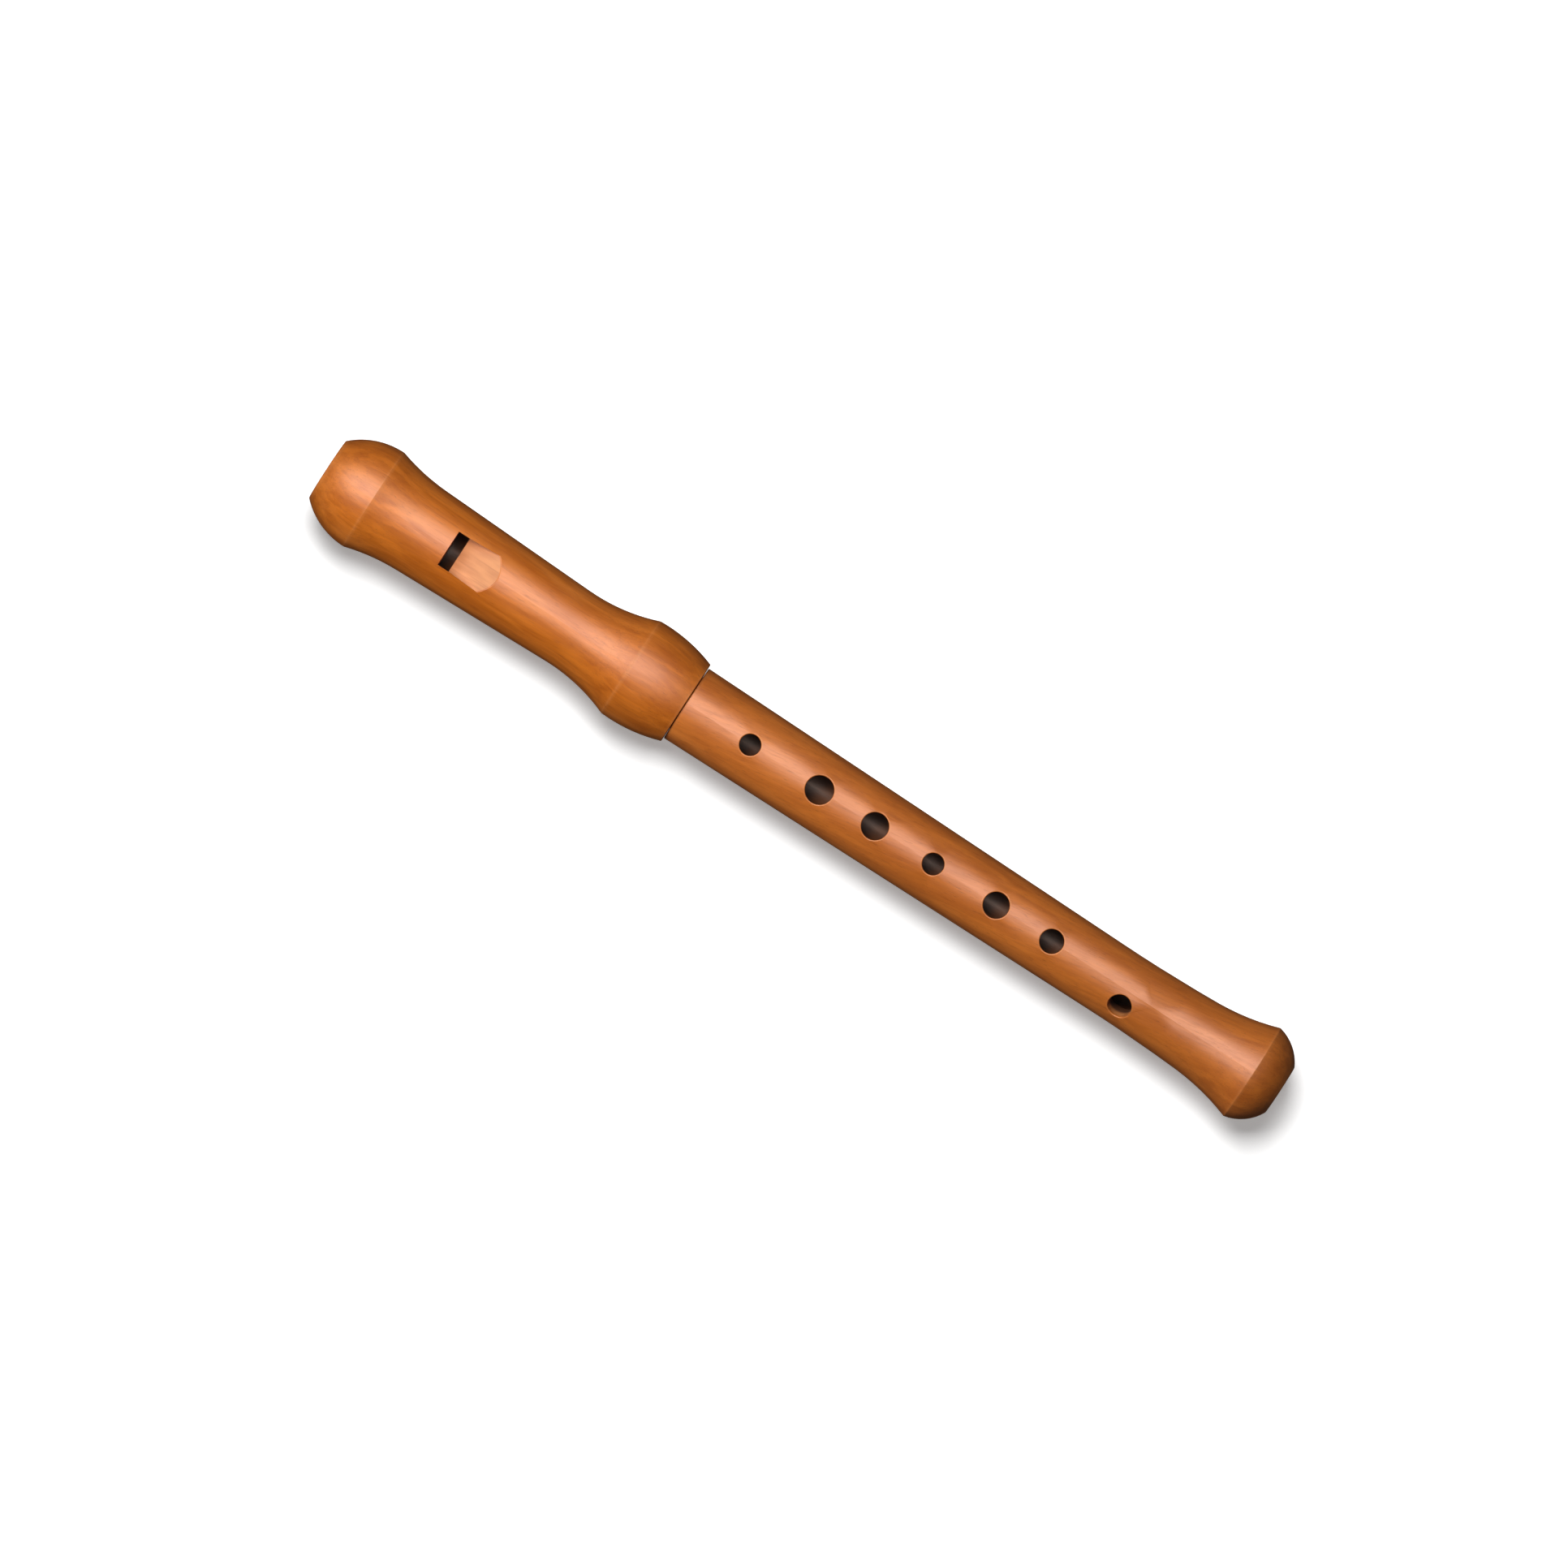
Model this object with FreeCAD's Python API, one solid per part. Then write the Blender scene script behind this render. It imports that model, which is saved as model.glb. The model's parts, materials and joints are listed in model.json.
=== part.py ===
"""A two-piece wooden soprano recorder with German fingering, lying on its back with its finger holes up.

Row frame, in millimetres: +X runs along the bore from the beak to the bell, +Z is up, and the origin is
on the resting surface below the middle of the recorder. Four pieces of the real instrument are made:
the head joint, the block that plugs its beak, the body joint with its foot, and the tenon's cork.

A place on the recorder is given as a station, the distance from the beak's tip along the bore,
with a radius or a height measured from the bore's axis.
"""
import FreeCAD
import Part
import math
import os

# ---- driving dimensions ----------------------------------------------------------------------------
LENGTH = 325.0              # beak tip to bell end
GREATEST_RADIUS = 16.0      # at the ring below the beak
AXIS_HEIGHT = GREATEST_RADIUS
EDGE_ROUND = 0.3            # softening of turned edges

# head joint, outside
TIP_RADIUS = 9.7
TIP_ROUND = 0.6
DOME_THROUGH = (6.6, 14.15)     # a point of the arc from the tip to the ring
RING_STATION = 15.9
NECK_STATION, NECK_RADIUS = 32.0, 13.38
NECK_TAPER = -0.030         # change of radius per millimetre towards the waist
WAIST_STATION = 82.0
BULB_STATION, BULB_RADIUS = 103.6, 15.65
BULB_THROUGH = (114.4, 15.05)   # a point of the arc from the bulb's ring to the rim
RIM_STATION, RIM_RADIUS = 122.3, 13.0

# head joint, inside
HEAD_BORE_RADIUS = 6.0
SOCKET_RADIUS = 8.9
SOCKET_DEPTH = 18.6
SOCKET_CHAMFER = 0.5

# voicing: windway, window and labium
WINDWAY_HALF_WIDTH = 5.62
WINDWAY_ROOF_IN, WINDWAY_ROOF_OUT = 6.95, 6.60
WINDWAY_FLOOR = 5.75
VOICING_CHAMFER = 0.5
BLOCK_LINE = 41.5           # where the windway ends and the window begins
WINDOW_LENGTH = 3.6
LABIUM_HEIGHT = 6.1
LABIUM_EDGE_THICKNESS = 0.15
LABIUM_SLOPE = 0.489
LABIUM_FLARE = 0.055        # widening of the ramp, on each side, per millimetre
UNDERSIDE_FLAT = 11.0       # length of the nearly level part under the labium
UNDERSIDE_DROP = 0.5        # how far that part falls
UNDERSIDE_LENGTH = 19.0
UNDERSIDE_END_HEIGHT = 2.0  # well inside the bore, where the channel has run out
BLOCK_CLEARANCE = 0.04

# beak
BEAK_CUT_RADIUS = 24.0
BEAK_CUT_STATION, BEAK_CUT_HEIGHT = -7.8, -21.7

# body joint, outside
JOINT_GAP = 0.15
SHOULDER_RADIUS = 11.85
TAPER_END, TAPER_END_RADIUS = 266.0, 10.57
FLARE_STATION, FLARE_RADIUS = 297.0, 11.33
BELL_STATION, BELL_RADIUS = 315.5, 15.0
BELL_THROUGH = (321.4, 12.2)    # a point of the arc from the bell's ring to its end
BELL_END_RADIUS = 7.7

# body joint, inside, and its tenon
TENON_RADIUS = 8.6
TENON_LENGTH = 18.0
TENON_CHAMFER = 0.5
BORE_TOP_RADIUS = 5.9
FOOT_BORE_RADIUS = 4.75
FOOT_BORE_LENGTH = 20.0
CORK_STATION, CORK_WIDTH = 108.2, 11.8
CORK_GROOVE_DEPTH = 1.0
CORK_CLEARANCE = 0.03
CORK_CHAMFER = 0.25

# tone holes: name, station, diameter, and angle round the bore from straight up towards -Y
TONE_HOLES = [
    ("first", 144.3, 6.3, 0),
    ("second", 167.9, 8.4, 0),
    ("third", 186.8, 8.0, 0),
    ("fourth", 206.6, 6.4, 0),
    ("fifth", 228.1, 7.7, 0),
    ("sixth", 247.0, 7.1, 0),
    ("seventh", 273.3, 7.1, 29),
    ("thumb", 136.0, 5.8, 180),
]
HOLE_ROUND = 0.25
RIM_TOLERANCE = 0.02        # how exactly a tone hole's rim must keep the hole's radius
RIM_DIP = 1.6               # how far the rim may drop below the outside at the sides of the hole
UNDERCUT = 0.5              # how much wider, in radius, a tone hole's cutter is half-way into the bore
UNDERCUT_DEPTH = 2.0        # how far up the wall the widening reaches

REACH = 30.0                # longer than any wall, for cutting tools

V = FreeCAD.Vector
ALONG = V(1, 0, 0)


def place(station, height=0.0, across=0.0):
    """The point at a station, at a height above the bore's axis and a distance towards +Y."""
    return V(station - LENGTH / 2, across, AXIS_HEIGHT + height)


class Outline:
    """A closed outline in the plane of the axis, drawn piece by piece, in stations and heights."""

    def __init__(self, station, height):
        self.first = self.last = (station, height)
        self.heading = 0.0
        self.edges = []

    def line(self, station, height):
        start, end = place(*self.last), place(station, height)
        self.edges.append(Part.makeLine(start, end))
        self.heading = math.atan2(height - self.last[1], station - self.last[0])
        self.last = (station, height)
        return self

    def arc(self, through, end):
        """A circular arc through one point to another."""
        self.edges.append(Part.Arc(place(*self.last), place(*through), place(*end)).toShape())
        self.last = end
        return self

    def _bulge(self, end, turn):
        """An arc whose chord is turned by this angle from its tangent at the start."""
        dx, dz = end[0] - self.last[0], end[1] - self.last[1]
        rise = math.tan(turn / 2) / 2
        middle = ((self.last[0] + end[0]) / 2 - dz * rise, (self.last[1] + end[1]) / 2 + dx * rise)
        return self.arc(middle, end)

    def arc_on(self, end):
        """An arc that leaves smoothly in the present heading."""
        chord = math.atan2(end[1] - self.last[1], end[0] - self.last[0])
        turn = self.heading - chord
        self._bulge(end, turn)
        self.heading = chord - turn
        return self

    def arc_into(self, end, slope):
        """An arc that arrives with this slope."""
        chord = math.atan2(end[1] - self.last[1], end[0] - self.last[0])
        self.heading = math.atan(slope)
        return self._bulge(end, chord - self.heading)

    def close(self):
        self.line(*self.first)
        return Part.Face(Part.Wire(self.edges))

    def turned(self):
        """The solid of revolution round the bore's axis."""
        return self.close().revolve(place(0), ALONG, 360)

    def extruded(self, half_width):
        """A prism of this half width, centred on the instrument's middle plane."""
        face = self.close()
        face.translate(V(0, -half_width, 0))
        return face.extrude(V(0, 2 * half_width, 0))


def polygon(points):
    outline = Outline(*points[0])
    for point in points[1:]:
        outline.line(*point)
    return outline


def soften(shape, radius, wanted):
    """Rounds every edge that `wanted` accepts."""
    edges = [e for e in shape.Edges if wanted(e)]
    return shape.makeFillet(radius, edges)


def is_ring_at(edge, station, radius):
    """Whether an edge is the full circle round the axis at this station and radius."""
    circle = edge.Curve
    if not isinstance(circle, Part.Circle):
        return False
    beside = math.hypot(circle.Center.y, circle.Center.z - AXIS_HEIGHT)
    return (
        beside < 1e-3
        and abs(circle.Center.x - place(station).x) < 1e-3
        and abs(circle.Radius - radius) < 1e-3
    )


def beak_cutter():
    """The drum whose side makes the hollow curve under the beak."""
    centre = place(BEAK_CUT_STATION, BEAK_CUT_HEIGHT, -REACH)
    return Part.makeCylinder(BEAK_CUT_RADIUS, 2 * REACH, centre, V(0, 1, 0))


def turned_head():
    outline = Outline(0, TIP_RADIUS)
    outline.arc(DOME_THROUGH, (RING_STATION, GREATEST_RADIUS))
    outline.arc_into((NECK_STATION, NECK_RADIUS), NECK_TAPER)
    waist_radius = NECK_RADIUS + NECK_TAPER * (WAIST_STATION - NECK_STATION)
    outline.line(WAIST_STATION, waist_radius)
    outline.arc_on((BULB_STATION, BULB_RADIUS))
    outline.arc(BULB_THROUGH, (RIM_STATION, RIM_RADIUS))
    outline.line(RIM_STATION, SOCKET_RADIUS + SOCKET_CHAMFER)
    outline.line(RIM_STATION - SOCKET_CHAMFER, SOCKET_RADIUS)
    outline.line(RIM_STATION - SOCKET_DEPTH, SOCKET_RADIUS)
    outline.line(RIM_STATION - SOCKET_DEPTH, HEAD_BORE_RADIUS)
    outline.line(0, HEAD_BORE_RADIUS)
    head = outline.turned()
    rings = [
        (RING_STATION, GREATEST_RADIUS),
        (BULB_STATION, BULB_RADIUS),
        (RIM_STATION, RIM_RADIUS),
    ]
    head = soften(head, EDGE_ROUND, lambda e: any(is_ring_at(e, *ring) for ring in rings))
    return soften(head, TIP_ROUND, lambda e: is_ring_at(e, 0, TIP_RADIUS))


def windway_channel():
    """The channel in the head's wall above the block, with its chamfered exit."""
    exit_lip = BLOCK_LINE - VOICING_CHAMFER
    lip_roof = WINDWAY_ROOF_OUT + (WINDWAY_ROOF_IN - WINDWAY_ROOF_OUT) * VOICING_CHAMFER / BLOCK_LINE
    return polygon([
        (-REACH, 0), (-REACH, WINDWAY_ROOF_IN), (0, WINDWAY_ROOF_IN), (exit_lip, lip_roof),
        (BLOCK_LINE, lip_roof + VOICING_CHAMFER), (BLOCK_LINE, 0),
    ]).extruded(WINDWAY_HALF_WIDTH)


def window():
    edge = BLOCK_LINE + WINDOW_LENGTH
    return polygon([
        (BLOCK_LINE, 0), (BLOCK_LINE, REACH), (edge, REACH), (edge, 0),
    ]).extruded(WINDWAY_HALF_WIDTH)


def ramp():
    """The space above the labium: a sloping floor between two sides that spread a little."""
    edge = BLOCK_LINE + WINDOW_LENGTH
    far = edge + (REACH - LABIUM_HEIGHT) / LABIUM_SLOPE
    slope = polygon([(edge, LABIUM_HEIGHT), (edge, REACH), (far, REACH)]).extruded(REACH)
    spread = WINDWAY_HALF_WIDTH + LABIUM_FLARE * (far - edge)
    plan = [
        place(edge, 0, -WINDWAY_HALF_WIDTH), place(edge, 0, WINDWAY_HALF_WIDTH),
        place(far, 0, spread), place(far, 0, -spread),
    ]
    sides = Part.Face(Part.makePolygon(plan + plan[:1])).extrude(V(0, 0, 2 * REACH))
    return slope.common(sides)


def labium_underside():
    """The flat channel that thins the labium from inside the bore and fades into it."""
    edge = BLOCK_LINE + WINDOW_LENGTH
    start = edge - WINDOW_LENGTH / 2
    end = edge + UNDERSIDE_LENGTH
    under = LABIUM_HEIGHT - LABIUM_EDGE_THICKNESS
    return polygon([
        (start, 0), (start, under), (edge, under), (edge + UNDERSIDE_FLAT, under - UNDERSIDE_DROP),
        (end, UNDERSIDE_END_HEIGHT), (end, 0),
    ]).extruded(WINDWAY_HALF_WIDTH)


def head_joint():
    head = turned_head()
    for tool in (beak_cutter(), windway_channel(), window(), labium_underside(), ramp()):
        head = head.cut(tool)
    return head


def block():
    """The plug of the beak: a cylinder whose raised flat is the windway's floor."""
    radius = HEAD_BORE_RADIUS - BLOCK_CLEARANCE
    plug = Part.makeCylinder(radius, BLOCK_LINE, place(0), ALONG)
    floor = polygon([
        (0, 0), (0, WINDWAY_FLOOR), (BLOCK_LINE, WINDWAY_FLOOR), (BLOCK_LINE, 0),
    ]).extruded(WINDWAY_HALF_WIDTH - BLOCK_CLEARANCE)
    exit_chamfer = polygon([
        (BLOCK_LINE - VOICING_CHAMFER, WINDWAY_FLOOR), (BLOCK_LINE - VOICING_CHAMFER, REACH),
        (BLOCK_LINE + REACH, REACH), (BLOCK_LINE + REACH, WINDWAY_FLOOR - VOICING_CHAMFER - REACH),
    ]).extruded(REACH)
    return plug.fuse(floor).cut(exit_chamfer).cut(beak_cutter()).removeSplitter()


def turned_body():
    shoulder = RIM_STATION + JOINT_GAP
    top = shoulder - TENON_LENGTH
    groove_end = CORK_STATION + CORK_WIDTH
    groove_radius = TENON_RADIUS - CORK_GROOVE_DEPTH
    foot = LENGTH - FOOT_BORE_LENGTH
    outline = Outline(top, TENON_RADIUS - TENON_CHAMFER)
    outline.line(top + TENON_CHAMFER, TENON_RADIUS)
    outline.line(CORK_STATION, TENON_RADIUS)
    outline.line(CORK_STATION, groove_radius)
    outline.line(groove_end, groove_radius)
    outline.line(groove_end, TENON_RADIUS)
    outline.line(shoulder, TENON_RADIUS)
    outline.line(shoulder, SHOULDER_RADIUS)
    outline.line(TAPER_END, TAPER_END_RADIUS)
    outline.arc_on((FLARE_STATION, FLARE_RADIUS))
    outline.arc_on((BELL_STATION, BELL_RADIUS))
    outline.arc(BELL_THROUGH, (LENGTH, BELL_END_RADIUS))
    outline.line(LENGTH, FOOT_BORE_RADIUS)
    outline.line(foot, FOOT_BORE_RADIUS)
    outline.line(top, BORE_TOP_RADIUS)
    body = outline.turned()
    rings = [
        (shoulder, SHOULDER_RADIUS),
        (BELL_STATION, BELL_RADIUS),
        (LENGTH, BELL_END_RADIUS),
        (LENGTH, FOOT_BORE_RADIUS),
    ]
    return soften(body, EDGE_ROUND, lambda e: any(is_ring_at(e, *ring) for ring in rings))


def outer_radius(station):
    """The body joint's radius on its long taper, near enough for placing tools."""
    share = (station - RIM_STATION) / (TAPER_END - RIM_STATION)
    return SHOULDER_RADIUS + (TAPER_END_RADIUS - SHOULDER_RADIUS) * share


def bore_radius(station):
    top, foot = RIM_STATION + JOINT_GAP - TENON_LENGTH, LENGTH - FOOT_BORE_LENGTH
    return BORE_TOP_RADIUS + (FOOT_BORE_RADIUS - BORE_TOP_RADIUS) * (station - top) / (foot - top)


def radial(angle):
    """The direction out of the bore at this angle from straight up, towards -Y."""
    turn = math.radians(angle)
    return V(0, -math.sin(turn), math.cos(turn))


def is_rim_of(edge, station, angle, radius):
    """Whether an edge is where this tone hole meets the outside of the body."""
    out = radial(angle)
    if edge.Length < math.pi * radius:
        return False
    for share in (0.0, 0.25, 0.5, 0.75):
        span = edge.ParameterRange
        point = edge.valueAt(span[0] + (span[1] - span[0]) * share) - place(station)
        height = point.dot(out)
        beside = (point - out * height).Length
        if abs(beside - radius) > RIM_TOLERANCE or height < outer_radius(station) - RIM_DIP:
            return False
    return True


def undercut(station, radius, out):
    """The cone that widens a tone hole where it meets the bore."""
    bore = bore_radius(station)
    start = bore / 2
    height = bore + UNDERCUT_DEPTH - start
    return Part.makeCone(radius + UNDERCUT, radius, height, place(station) + out * start, out)


def body_joint():
    body = turned_body()
    for _, station, diameter, angle in TONE_HOLES:
        radius, out = diameter / 2, radial(angle)
        body = body.cut(Part.makeCylinder(radius, REACH, place(station), out))
        body = soften(body, HOLE_ROUND, lambda e: is_rim_of(e, station, angle, radius))
    for _, station, diameter, angle in TONE_HOLES:
        body = body.cut(undercut(station, diameter / 2, radial(angle)))
    return body


def tenon_cork():
    inner = TENON_RADIUS - CORK_GROOVE_DEPTH + CORK_CLEARANCE
    outer = SOCKET_RADIUS - CORK_CLEARANCE
    near, far = CORK_STATION + CORK_CLEARANCE, CORK_STATION + CORK_WIDTH - CORK_CLEARANCE
    return polygon([
        (near, inner), (near, outer - CORK_CHAMFER), (near + CORK_CHAMFER, outer),
        (far - CORK_CHAMFER, outer), (far, outer - CORK_CHAMFER), (far, inner),
    ]).turned()


def main():
    os.makedirs("parts", exist_ok=True)
    for name, make in (
        ("head_joint", head_joint),
        ("block", block),
        ("body_joint", body_joint),
        ("tenon_cork", tenon_cork),
    ):
        shape = make()
        solids = shape.Solids
        assert len(solids) == 1 and shape.isValid(), name
        solids[0].exportStep(f"parts/{name}.step")
        print(name, round(shape.Volume), "mm3")


main()
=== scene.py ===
"""The looks of a wooden soprano recorder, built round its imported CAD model.

Every CAD node stays and gets a node material: stained and varnished pearwood for the two joints, bare cedar
for the block and sheet cork for the tenon's ring. Masks by position in the recorder's own frame tell the
turned, varnished outside from the bare cuts: bore, windway, labium and the walls of the tone holes.
"""
import json
import math

import bpy
from mathutils import Matrix, Vector


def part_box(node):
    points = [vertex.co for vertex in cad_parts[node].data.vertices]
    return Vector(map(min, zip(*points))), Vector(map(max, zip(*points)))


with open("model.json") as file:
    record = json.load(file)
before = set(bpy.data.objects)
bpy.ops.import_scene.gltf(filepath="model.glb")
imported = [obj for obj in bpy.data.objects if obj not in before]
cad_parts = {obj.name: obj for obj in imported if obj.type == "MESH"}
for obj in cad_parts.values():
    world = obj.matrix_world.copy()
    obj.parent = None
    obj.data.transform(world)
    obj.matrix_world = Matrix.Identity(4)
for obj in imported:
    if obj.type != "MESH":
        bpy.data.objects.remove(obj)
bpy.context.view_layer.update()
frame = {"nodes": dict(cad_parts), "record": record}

MM = 0.001
mount = {m["name"]: m for m in frame["record"]["mounts"]}["bell_bore"]
AXIS_Z = mount["pos_m"][2]
TIP_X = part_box("head_joint")[0].x


def at(station):
    """The X of a place this many millimetres from the beak's tip."""
    return TIP_X + station * MM


# ---- node helpers ----------------------------------------------------------------------------------
class Nodes:
    """A short way of writing a node tree; a link is made wherever an input is another node's socket."""

    def __init__(self, name):
        self.material = bpy.data.materials.new(name)
        self.material.use_nodes = True
        self.tree = self.material.node_tree
        self.tree.nodes.clear()
        self.shader = self.add("ShaderNodeBsdfPrincipled")
        output = self.add("ShaderNodeOutputMaterial")
        self.tree.links.new(self.shader.outputs[0], output.inputs[0])

    def add(self, kind, inputs=None, **settings):
        node = self.tree.nodes.new(kind)
        for key, value in settings.items():
            setattr(node, key, value)
        for key, value in (inputs or {}).items():
            self.feed(node.inputs[key], value)
        return node

    def feed(self, socket, value):
        if isinstance(value, bpy.types.NodeSocket):
            self.tree.links.new(value, socket)
        else:
            socket.default_value = value

    def set(self, **inputs):
        """Feeds the shader's sockets: set(base_color=...) means "Base Color"."""
        for key, value in inputs.items():
            self.feed(self.shader.inputs[key.replace("_", " ").title().replace("Ior", "IOR")], value)

    def math(self, operation, *values, clamp=False):
        node = self.add("ShaderNodeMath", operation=operation, use_clamp=clamp)
        for socket, value in zip(node.inputs, values):
            self.feed(socket, value)
        return node.outputs[0]

    def ramp(self, value, low, high, start=0.0, end=1.0):
        """`value` carried from low..high to start..end, smoothly, and held beyond."""
        node = self.add(
            "ShaderNodeMapRange",
            {"Value": value, "From Min": low, "From Max": high, "To Min": start, "To Max": end},
            interpolation_type="SMOOTHSTEP",
        )
        return node.outputs[0]

    def stretched(self, coordinates, scale, offset=(0, 0, 0)):
        node = self.add("ShaderNodeMapping", {"Vector": coordinates, "Scale": scale, "Location": offset})
        return node.outputs[0]

    def turned(self, coordinates, angle):
        """Coordinates turned about the vertical, for grain that runs a little aslant."""
        inputs = {"Vector": coordinates, "Angle": angle}
        return self.add("ShaderNodeVectorRotate", inputs, rotation_type="Z_AXIS").outputs[0]

    def noise(self, coordinates, scale=1.0, detail=2.0, roughness=0.5, distortion=0.0):
        node = self.add(
            "ShaderNodeTexNoise",
            {
                "Vector": coordinates, "Scale": scale, "Detail": detail,
                "Roughness": roughness, "Distortion": distortion,
            },
        )
        return node.outputs[0]

    def mix(self, share, low, high, blend="MIX"):
        node = self.add("ShaderNodeMix", data_type="RGBA", blend_type=blend)
        self.feed(node.inputs[0], share)
        self.feed(node.inputs[6], low)
        self.feed(node.inputs[7], high)
        return node.outputs[2]

    def blend(self, share, low, high):
        """A number between two others."""
        node = self.add("ShaderNodeMix", data_type="FLOAT")
        self.feed(node.inputs[0], share)
        self.feed(node.inputs[2], low)
        self.feed(node.inputs[3], high)
        return node.outputs[0]

    def bump(self, height, distance, strength=1.0, under=None):
        inputs = {"Height": height, "Distance": distance, "Strength": strength}
        if under is not None:
            inputs["Normal"] = under
        return self.add("ShaderNodeBump", inputs).outputs[0]

    def recorder_frame(self):
        """Object coordinates, with the station's X, the height above the axis and the radius from it."""
        place = self.add("ShaderNodeTexCoord").outputs["Object"]
        x, y, z = self.add("ShaderNodeSeparateXYZ", {"Vector": place}).outputs
        up = self.math("SUBTRACT", z, AXIS_Z)
        squares = self.math("ADD", self.math("MULTIPLY", y, y), self.math("MULTIPLY", up, up))
        return place, x, y, up, self.math("SQRT", squares)


def srgb(red, green, blue):
    """A colour given as it looks on a screen, 0 to 255, in the linear values that a shader takes."""
    def linear(value):
        value /= 255
        return value / 12.92 if value <= 0.04045 else ((value + 0.055) / 1.055) ** 2.4
    return (linear(red), linear(green), linear(blue), 1.0)


# ---- pearwood --------------------------------------------------------------------------------------
STAIN_DEEP, STAIN_LIGHT = srgb(184, 95, 12), srgb(216, 121, 34)
STAIN_PINK = srgb(212, 126, 68)
CLOUD_LIGHT, CLOUD_DEEP = srgb(232, 140, 64), srgb(158, 78, 4)
RING_LINE = srgb(156, 72, 14)
THREAD_LINE = srgb(150, 68, 12)
FIBRE_LINE = srgb(140, 62, 12)
PORE = srgb(104, 44, 8)
# a lighter tone for the turned edges and the hole rims: worn varnish, and a painted highlight there
RUBBED_EDGE_AND_HIGHLIGHT = srgb(232, 158, 96)
BARE_DEEP, BARE_LIGHT = srgb(204, 130, 80), srgb(226, 152, 100)
BARE_LINE = srgb(176, 102, 60)
BARE_BY_WINDOW = srgb(150, 88, 54)
# dark colours of the bore: oil-darkened wood, darkened further as painted shade
OILED_AND_SHADE_DEEP, OILED_AND_SHADE_LIGHT = srgb(74, 40, 22), srgb(104, 60, 34)
DRILLED_DEEP, DRILLED_LIGHT = srgb(176, 106, 56), srgb(200, 130, 78)
VARNISH, VARNISH_ROUGHNESS = 0.20, 0.34
BORE_SHADE_FULL_TO, HOLE_SHADE_GONE_FROM = 6.8 * MM, 8.8 * MM   # radii between which the dark bore, oil and painted shade, turns to the pale walls of the holes


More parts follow.
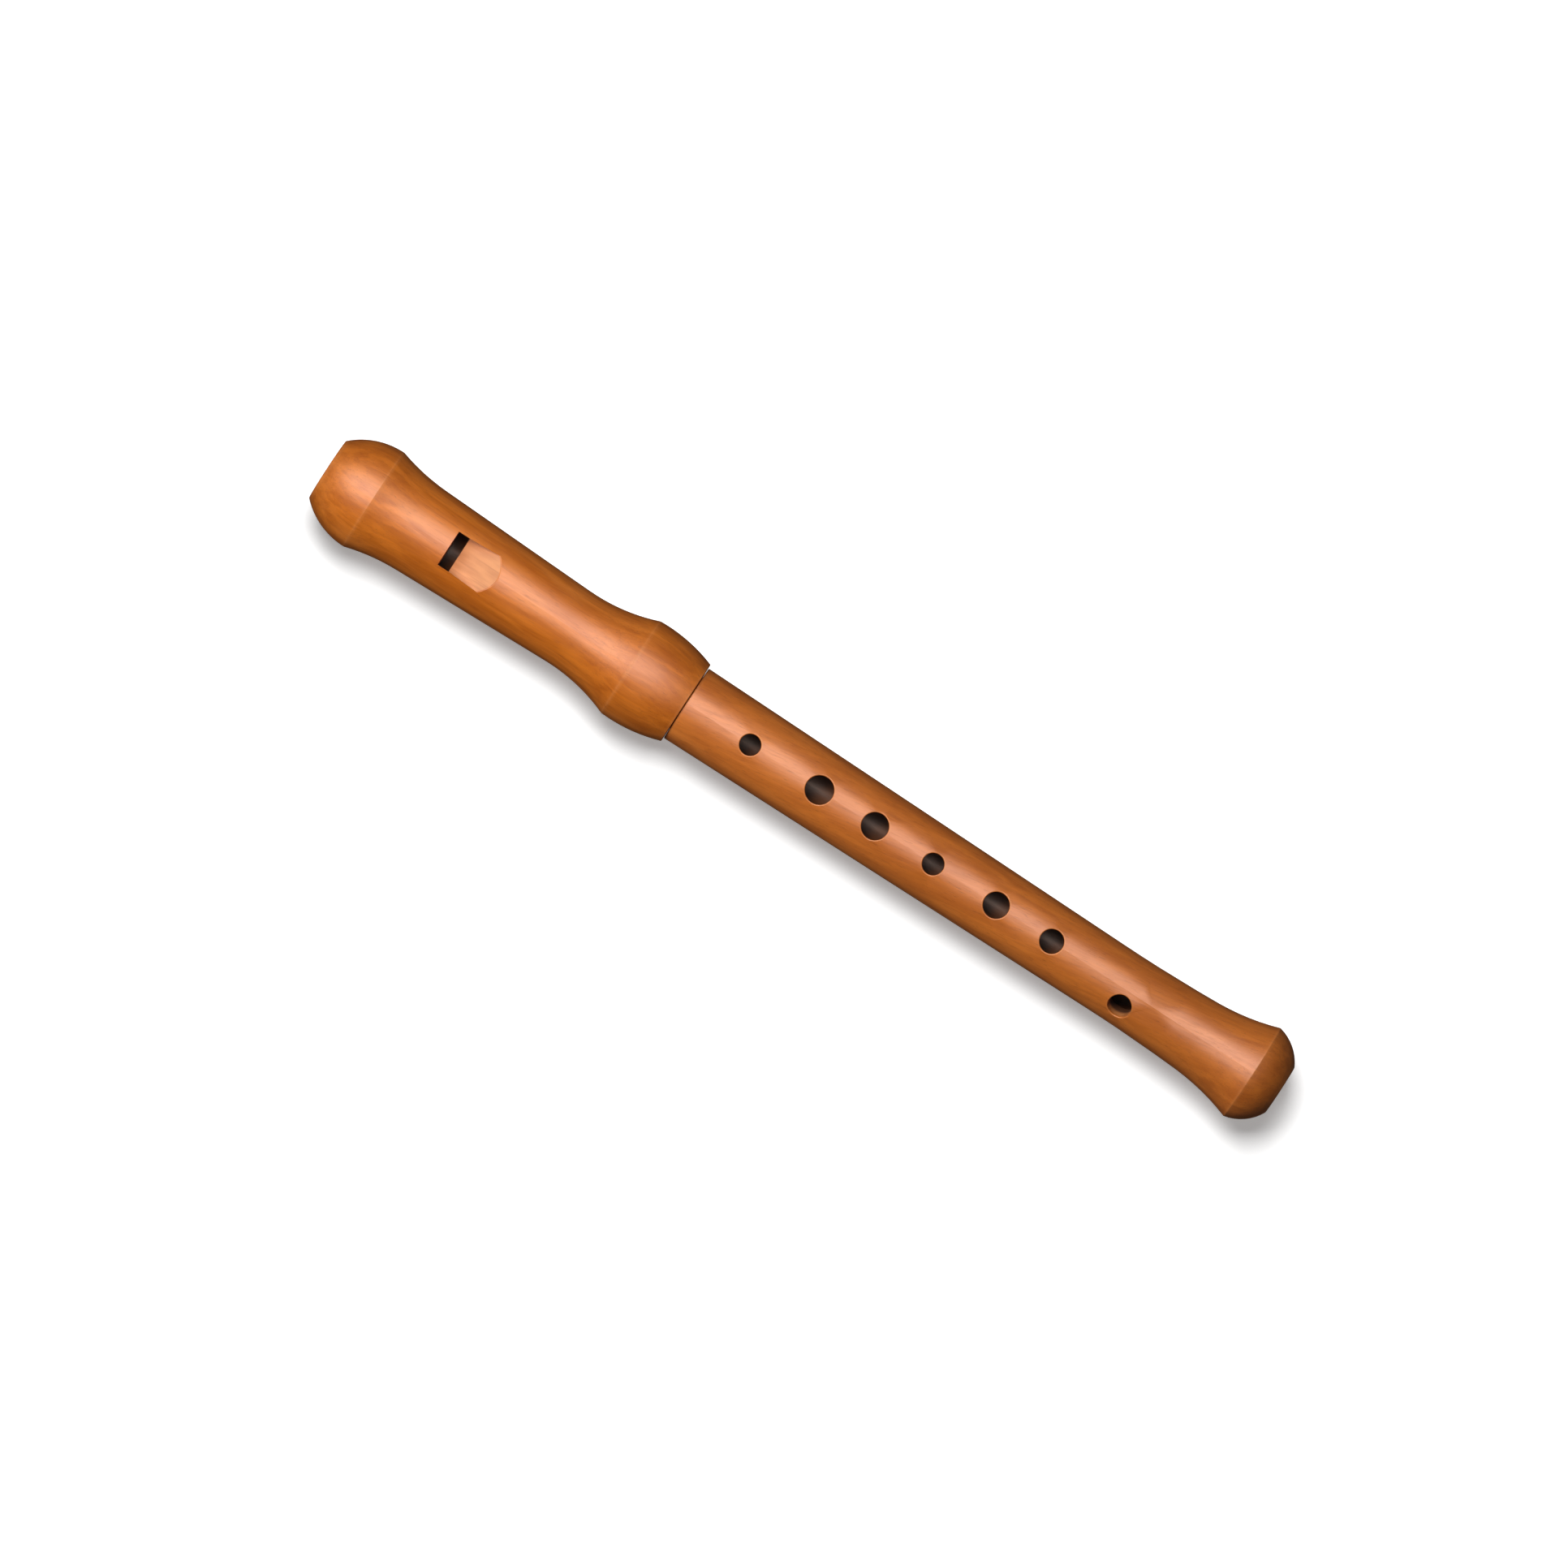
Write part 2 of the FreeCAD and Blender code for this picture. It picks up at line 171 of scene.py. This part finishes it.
def pearwood(name, turn, slant, pink, wall_radius, wear_and_highlight, ramp=None):
    """Stained, satin-varnished pearwood, bare and darker inside, from oil and from painted shade deep in
    the bore.

    `turn` sets how this billet was cut from the plank, `slant` how far its grain runs off the axis and
    `pink` how much of its own pink shows through the stain. `wall_radius(n, x)` gives the radius below
    which the wood is an inner wall, `wear_and_highlight(n, x, y, up)` where the varnish is worn thin and
    a highlight is painted on the edges, and `ramp` the part that was cut bare after staining, if any.
    """
    n = Nodes(name)
    place, x, y, up, radius = n.recorder_frame()
    grain = n.turned(place, slant)

    # growth rings: gentle bands round a far pith, wandering along the billet
    across = n.math("ADD", n.math("MULTIPLY", y, math.cos(turn)), n.math("MULTIPLY", up, math.sin(turn)))
    wander = n.noise(n.stretched(grain, (9, 40, 40), (turn, 0, 0)), detail=2.0)
    rings = n.math("MULTIPLY", n.math("ADD", across, n.math("MULTIPLY", wander, 0.012)), 2300.0)
    band = n.math("MULTIPLY_ADD", n.math("SINE", rings), 0.5, 0.5)

    # fibres, threads, streaks, clouds and pores, all drawn out along the grain; features per metre
    fibre = n.noise(n.stretched(grain, (90, 1900, 1900)), detail=3.0, roughness=0.65)
    thread = n.noise(n.stretched(grain, (60, 800, 800), (1.7, turn, 0)), detail=3.0, roughness=0.6)
    streak = n.noise(
        n.stretched(grain, (34, 300, 300), (3.1, turn, 0)), detail=4.0, roughness=0.6, distortion=0.5
    )
    cloud = n.noise(n.stretched(grain, (26, 85, 85), (0.7, 1.3, turn)), detail=3.0, distortion=0.4)
    fleck = n.ramp(n.noise(n.stretched(grain, (330, 4200, 4200), (0, 2.2, 0)), detail=1.0), 0.63, 0.75)

    stain = n.mix(n.ramp(streak, 0.30, 0.70), STAIN_DEEP, STAIN_LIGHT)
    stain = n.mix(pink, stain, STAIN_PINK)
    stain = n.mix(n.ramp(cloud, 0.50, 0.74, 0.0, 0.42), stain, CLOUD_LIGHT)
    stain = n.mix(n.ramp(cloud, 0.46, 0.26, 0.0, 0.38), stain, CLOUD_DEEP)
    stain = n.mix(n.math("MULTIPLY", band, 0.10), stain, RING_LINE)
    stain = n.mix(n.ramp(thread, 0.50, 0.74, 0.0, 0.28), stain, THREAD_LINE)
    stain = n.mix(n.ramp(fibre, 0.50, 0.75, 0.0, 0.22), stain, FIBRE_LINE)
    stain = n.mix(n.math("MULTIPLY", fleck, 0.35), stain, PORE)
    # lighter bands on the turned edges and round the hole rims: partly worn varnish, partly a painted
    # highlight on those edges
    rubbed_and_highlight = n.math("MULTIPLY", wear_and_highlight(n, x, y, up), n.ramp(thread, 0.35, 0.60, 0.35, 1.0))
    stain = n.mix(n.math("MULTIPLY", rubbed_and_highlight, 0.18), stain, RUBBED_EDGE_AND_HIGHLIGHT)

    # the bare ramp is planed along the grain, so its lines run straight up it
    planed = n.add("ShaderNodeCombineXYZ", {"X": x, "Y": y}).outputs[0]
    line = n.noise(n.stretched(planed, (50, 950, 1)), detail=3.0, roughness=0.6)
    vein = n.noise(n.stretched(planed, (70, 300, 1), (4, 0, 0)), detail=2.0)
    bare = n.mix(n.ramp(vein, 0.35, 0.65), BARE_DEEP, BARE_LIGHT)
    bare = n.mix(n.ramp(line, 0.48, 0.70, 0.0, 0.50), bare, BARE_LINE)
    bare = n.mix(n.ramp(x, at(WINDOW_END + 5), at(WINDOW_END), 0.0, 0.30), bare, BARE_BY_WINDOW)
    # inner walls: oil-darkened wood with painted shade deep in the bore, paling towards the holes' rims
    # where the painted shade fades
    oiled_and_shade = n.mix(n.ramp(streak, 0.3, 0.7), OILED_AND_SHADE_DEEP, OILED_AND_SHADE_LIGHT)
    drilled = n.mix(n.ramp(streak, 0.3, 0.7), DRILLED_DEEP, DRILLED_LIGHT)
    oiled_and_shade = n.mix(n.ramp(radius, BORE_SHADE_FULL_TO, HOLE_SHADE_GONE_FROM), oiled_and_shade, drilled)

    inner = n.math("LESS_THAN", radius, wall_radius(n, x))
    colour = n.mix(inner, stain, oiled_and_shade)
    gloss = n.blend(inner, n.ramp(fibre, 0.3, 0.7, 0.42, 0.50), 0.6)
    gloss = n.math("ADD", gloss, n.math("MULTIPLY", rubbed_and_highlight, 0.06))
    if ramp is not None:
        cut = n.math("MULTIPLY", ramp(n, x, y, up, radius), n.math("SUBTRACT", 1.0, inner))
        colour = n.mix(cut, colour, bare)
        gloss = n.blend(cut, gloss, 0.62)
    n.set(base_color=colour, roughness=gloss)
    n.shader.inputs["Coat Weight"].default_value = VARNISH
    n.shader.inputs["Coat Roughness"].default_value = VARNISH_ROUGHNESS
    relief = n.math("ADD", n.math("MULTIPLY", thread, 0.8), n.math("MULTIPLY", fibre, 0.5))
    relief = n.math("ADD", relief, n.math("MULTIPLY", fleck, -0.6))
    n.set(normal=n.bump(relief, 0.00003, 0.6))
    return n.material


# stations of the turned edges, and other places in the CAD model, in millimetres from the beak's tip
TIP_EDGE, BEAK_RING, BULB_RING, RIM_EDGE = 0.5, 15.9, 103.6, 122.2
SHOULDER_EDGE, BELL_RING, BELL_EDGE = 122.8, 315.5, 324.6
SOCKET_START, SHOULDER, BELL_FACE_START = 103.5, 122.3, 322
WINDOW_END, RAMP_END = 45, 60

# the radii, in millimetres, that part an inner wall from the outer skin
HEAD_BORE_WALL, SOCKET_WALL = 6.12, 9.0
BODY_SKIN, TENON_BORE_WALL, FOOT_BORE_WALL = 9.6, 6.0, 4.9
RAMP_SKIN_NEAR, RAMP_SKIN_FAR = 12.7, 12.35

# how far from an edge, and from a hole, the rubbing and painted highlight are full and where they end, in
# millimetres
RUB_AND_HIGHLIGHT_CORE, RUB_AND_HIGHLIGHT_EDGE, RUB_AND_HIGHLIGHT_RIM = 0.1, 0.9, 0.7


def near_rings(n, x, stations):
    """A narrow band on each turned edge, where hands and cases rub the varnish thin and a highlight is
    painted.
    """
    share = 0.0
    for station in stations:
        away = n.math("ABSOLUTE", n.math("SUBTRACT", x, at(station)))
        share = n.math("MAXIMUM", share, n.ramp(away, RUB_AND_HIGHLIGHT_CORE * MM, RUB_AND_HIGHLIGHT_EDGE * MM, 1.0, 0.0))
    return share


def head_wear_and_highlight(n, x, y, up):
    return near_rings(n, x, (TIP_EDGE, BEAK_RING, BULB_RING, RIM_EDGE))


# tone holes that show their rims: station, radius and angle from straight up, as in the CAD model
RIMS = [
    (144.3, 3.15, 0), (167.9, 4.2, 0), (186.8, 4.0, 0), (206.6, 3.2, 0),
    (228.1, 3.85, 0), (247.0, 3.55, 0), (273.3, 3.55, 29), (136.0, 2.9, 180),
]


def body_wear_and_highlight(n, x, y, up):
    """Rubbing and a painted highlight round the finger holes as well as on the edges."""
    share = near_rings(n, x, (SHOULDER_EDGE, BELL_RING, BELL_EDGE))
    for station, radius, angle in RIMS:
        cosine, sine = math.cos(math.radians(angle)), math.sin(math.radians(angle))
        along = n.math("SUBTRACT", x, at(station))
        beside = n.math("ADD", n.math("MULTIPLY", y, cosine), n.math("MULTIPLY", up, sine))
        above = n.math("SUBTRACT", n.math("MULTIPLY", up, cosine), n.math("MULTIPLY", y, sine))
        squares = n.math("ADD", n.math("MULTIPLY", along, along), n.math("MULTIPLY", beside, beside))
        core, edge = (radius + RUB_AND_HIGHLIGHT_CORE) * MM, (radius + RUB_AND_HIGHLIGHT_RIM) * MM
        rim = n.ramp(n.math("SQRT", squares), core, edge, 1.0, 0.0)
        share = n.math("MAXIMUM", share, n.math("MULTIPLY", rim, n.math("GREATER_THAN", above, 0.0)))
    return share


def head_wall(n, x):
    """The head's inner walls lie inside its bore, and inside the socket behind the bulb."""
    socket = n.math("GREATER_THAN", x, at(SOCKET_START))
    return n.blend(socket, HEAD_BORE_WALL * MM, SOCKET_WALL * MM)


def body_wall(n, x):
    """Anything a little below the body's outer surface is the wall of a hole or of the bore."""
    tenon = n.math("LESS_THAN", x, at(SHOULDER))
    end = n.math("GREATER_THAN", x, at(BELL_FACE_START))
    return n.blend(end, n.blend(tenon, BODY_SKIN * MM, TENON_BORE_WALL * MM), FOOT_BORE_WALL * MM)


def labium(n, x, y, up, radius):
    """The bare ramp and its side walls: above the bore, behind the window, and below the turned skin."""
    skin = n.ramp(x, at(WINDOW_END), at(RAMP_END), RAMP_SKIN_NEAR * MM, RAMP_SKIN_FAR * MM)
    behind = n.math("GREATER_THAN", x, at(WINDOW_END - 0.1))
    before = n.math("LESS_THAN", x, at(RAMP_END + 0.5))
    below = n.math("LESS_THAN", radius, skin)
    return n.math("MULTIPLY", n.math("MULTIPLY", behind, before), below)


# ---- the block's cedar and the tenon's cork --------------------------------------------------------
CEDAR_DEEP, CEDAR_LIGHT = srgb(168, 104, 72), srgb(190, 124, 86)
LATEWOOD, CEDAR_FIBRE, CEDAR_DAMP = srgb(116, 60, 38), srgb(134, 76, 50), srgb(104, 62, 44)
DAMPEST, DAMP_END = 4, 22           # stations between which the breath's damp fades out
CORK_DEEP, CORK_LIGHT = srgb(190, 140, 104), srgb(222, 178, 140)
CORK_MOTTLE, CORK_PIT, CORK_GREASE = srgb(168, 112, 78), srgb(84, 48, 30), srgb(146, 92, 62)
GREASE_START, GREASE_FULL = 8.6 * MM, 8.9 * MM


def cedar(name):
    """Bare red cedar: soft even wood with fine dark latewood lines, darkened where breath wets it."""
    n = Nodes(name)
    place, x, y, up, _ = n.recorder_frame()
    wander = n.noise(n.stretched(place, (14, 60, 60)), detail=2.0)
    depth = n.math("ADD", n.math("MULTIPLY", up, 0.9), n.math("MULTIPLY", y, 0.35))
    rings = n.math("MULTIPLY", n.math("ADD", depth, n.math("MULTIPLY", wander, 0.004)), 5200.0)
    late = n.ramp(n.math("SINE", rings), 0.1, 0.95)
    fibre = n.noise(n.stretched(place, (110, 2600, 2600)), detail=3.0, roughness=0.6)
    patch = n.noise(n.stretched(place, (60, 140, 140)), detail=2.0)
    colour = n.mix(n.ramp(patch, 0.35, 0.65), CEDAR_DEEP, CEDAR_LIGHT)
    colour = n.mix(n.math("MULTIPLY", late, 0.55), colour, LATEWOOD)
    colour = n.mix(n.ramp(fibre, 0.45, 0.75, 0.0, 0.4), colour, CEDAR_FIBRE)
    reach = n.math("ADD", x, n.math("MULTIPLY", patch, 12 * MM))
    damp = n.ramp(reach, at(DAMPEST), at(DAMP_END), 0.35, 0.0)
    colour = n.mix(damp, colour, CEDAR_DAMP)
    n.set(base_color=colour, roughness=n.ramp(fibre, 0.3, 0.7, 0.58, 0.74))
    relief = n.math("ADD", n.math("MULTIPLY", late, 0.5), n.math("MULTIPLY", fibre, 0.6))
    n.set(normal=n.bump(relief, 0.00005, 0.6))
    return n.material


def sheet_cork(name):
    """Sheet cork round the tenon: pale cells with dark lenticels, worn darker and shinier on its top."""
    n = Nodes(name)
    place, _, _, _, radius = n.recorder_frame()
    warp = n.noise(place, scale=500, detail=2.0)
    cells = n.add("ShaderNodeTexVoronoi", {"Vector": place, "Scale": 1500.0, "Randomness": 1.0})
    shade = n.add("ShaderNodeSeparateColor", {"Color": cells.outputs["Color"]}).outputs[0]
    mottle = n.noise(n.stretched(place, (420, 420, 420), (2, 1, 0)), detail=4.0, roughness=0.7)
    pits = n.ramp(n.noise(n.stretched(place, (900, 350, 350), (5, 0, 0)), detail=2.0), 0.60, 0.68)
    colour = n.mix(shade, CORK_DEEP, CORK_LIGHT)
    colour = n.mix(n.ramp(mottle, 0.42, 0.70, 0.0, 0.50), colour, CORK_MOTTLE)
    colour = n.mix(n.math("MULTIPLY", pits, 0.70), colour, CORK_PIT)
    height = n.math("ADD", radius, n.math("MULTIPLY", warp, 0.1 * MM))
    greased = n.ramp(height, GREASE_START, GREASE_FULL, 0.0, 0.20)
    colour = n.mix(greased, colour, CORK_GREASE)
    n.set(base_color=colour, roughness=n.math("SUBTRACT", n.ramp(mottle, 0.3, 0.7, 0.66, 0.84), greased))
    grains = n.math("MULTIPLY", cells.outputs["Distance"], 0.5)
    relief = n.math("SUBTRACT", grains, n.math("MULTIPLY", pits, 1.2))
    n.set(normal=n.bump(relief, 0.00008, 0.7))
    return n.material


def dress(node, material):
    for slot in frame["nodes"][node].material_slots:
        slot.material = material


dress("head_joint", pearwood("head pearwood", 0.4, 0.0, 0.0, head_wall, head_wear_and_highlight, labium))
dress("body_joint", pearwood("body pearwood", 1.9, -0.16, 0.30, body_wall, body_wear_and_highlight))
dress("block", cedar("block cedar"))
dress("tenon_cork", sheet_cork("cork"))


# ---- studio ----------------------------------------------------------------------------------------
SLANT = math.radians(33.1)          # how far the recorder's axis falls towards the picture's right
PICTURE_WIDTH = 448.3 * MM          # what the frame spans at the height of the axis
LENS = 400.0
SENSOR = 36.0
AIM = (-5.62 * MM, -1.22 * MM)      # the picture's middle from the recorder's, to the right and up

FLOOR_REACH = 3.0                   # metres each way
FLOOR_DROP = 0.2 * MM               # keeps the sheet clear of the recorder's lowest lines
FLOOR_GLOW = 0.33

# the lights' colours
AIR = (1.0, 0.86, 0.66)
CREAM = (1.0, 0.96, 0.70)
WHITE = (1.0, 0.98, 1.0)
SHEEN = (0.96, 0.86, 0.78)

RIGHT = Vector((math.cos(SLANT), math.sin(SLANT), 0))
UP = Vector((-math.sin(SLANT), math.cos(SLANT), 0))


def from_above():
    camera = bpy.data.objects.new("camera", bpy.data.cameras.new("camera"))
    camera.data.lens = LENS
    camera.data.sensor_width = SENSOR
    middle = Vector((0, 0, AXIS_Z)) + RIGHT * AIM[0] + UP * AIM[1]
    place = middle + Vector((0, 0, PICTURE_WIDTH * LENS / SENSOR))
    turn = Matrix((RIGHT, UP, Vector((0, 0, 1)))).transposed().to_4x4()
    camera.matrix_world = Matrix.Translation(place) @ turn
    bpy.context.scene.collection.objects.link(camera)
    bpy.context.scene.camera = camera


def softbox(name, place, size, power, only, aim=(0, 0, 0), glossy=True, diffuse=True, colour=(1, 1, 1)):
    """A rectangular light; `only` is the collection of the objects that it lights."""
    light = bpy.data.lights.new(name, "AREA")
    light.shape = "RECTANGLE"
    light.size, light.size_y = size
    light.energy = power
    light.color = colour
    lamp = bpy.data.objects.new(name, light)
    lamp.location = place
    lamp.rotation_mode = "QUATERNION"
    lamp.rotation_quaternion = (Vector(aim) - Vector(place)).to_track_quat("-Z", "Y")
    lamp.visible_camera = False
    lamp.visible_glossy = glossy
    lamp.visible_diffuse = diffuse
    lamp.light_linking.receiver_collection = only
    bpy.context.scene.collection.objects.link(lamp)


def group(name, objects):
    """A collection for light linking."""
    collection = bpy.data.collections.new(name)
    for each in objects:
        collection.objects.link(each)
    return collection


def floor():
    """White paper that glows a little, just below the recorder, and doesn't colour its wood."""
    n = Nodes("white paper")
    n.set(base_color=(0.9, 0.9, 0.9, 1), roughness=0.9)
    n.shader.inputs["Emission Color"].default_value = (1, 1, 1, 1)
    n.shader.inputs["Emission Strength"].default_value = FLOOR_GLOW
    mesh = bpy.data.meshes.new("floor")
    outline = ((-1, -1), (1, -1), (1, 1), (-1, 1))
    mesh.from_pydata([(x * FLOOR_REACH, y * FLOOR_REACH, 0) for x, y in outline], [], [(0, 1, 2, 3)])
    mesh.materials.append(n.material)
    sheet = bpy.data.objects.new("floor", mesh)
    bpy.context.scene.collection.objects.link(sheet)
    sheet.location.z = -FLOOR_DROP
    sheet.visible_diffuse = False
    sheet.visible_glossy = False
    return sheet


def surroundings(level):
    world = bpy.data.worlds.new("studio")
    world.use_nodes = True
    background = world.node_tree.nodes["Background"]
    background.inputs[0].default_value = (*AIR, 1.0)
    background.inputs[1].default_value = level
    bpy.context.scene.world = world


bpy.context.scene.view_settings.view_transform = "Standard"
from_above()
ground = group("ground", [floor()])
recorder = group("recorder", frame["nodes"].values())
surroundings(0.02)
softbox("upper", (-0.38, 0.25, 1.5), (0.35, 0.35), 12.6, recorder, glossy=False, colour=CREAM)
softbox("lower", (-0.34, -0.10, 0.62), (0.25, 0.25), 2.3, recorder, glossy=False, colour=WHITE)
softbox("sheen", (-0.75, 0.28, 1.2), (2.2, 1.05), 57.0, recorder, aim=(-0.75, 0.2, 0), diffuse=False,
        colour=SHEEN)
softbox("bounce", (0, 0, -0.1 * MM), (1.2, 1.2), 0.7, recorder, aim=(0, 0, 1), glossy=False)
softbox("shadow", UP * 0.45 + Vector((0, 0, 1.2)), (0.6, 0.6), 22.0, ground, glossy=False)
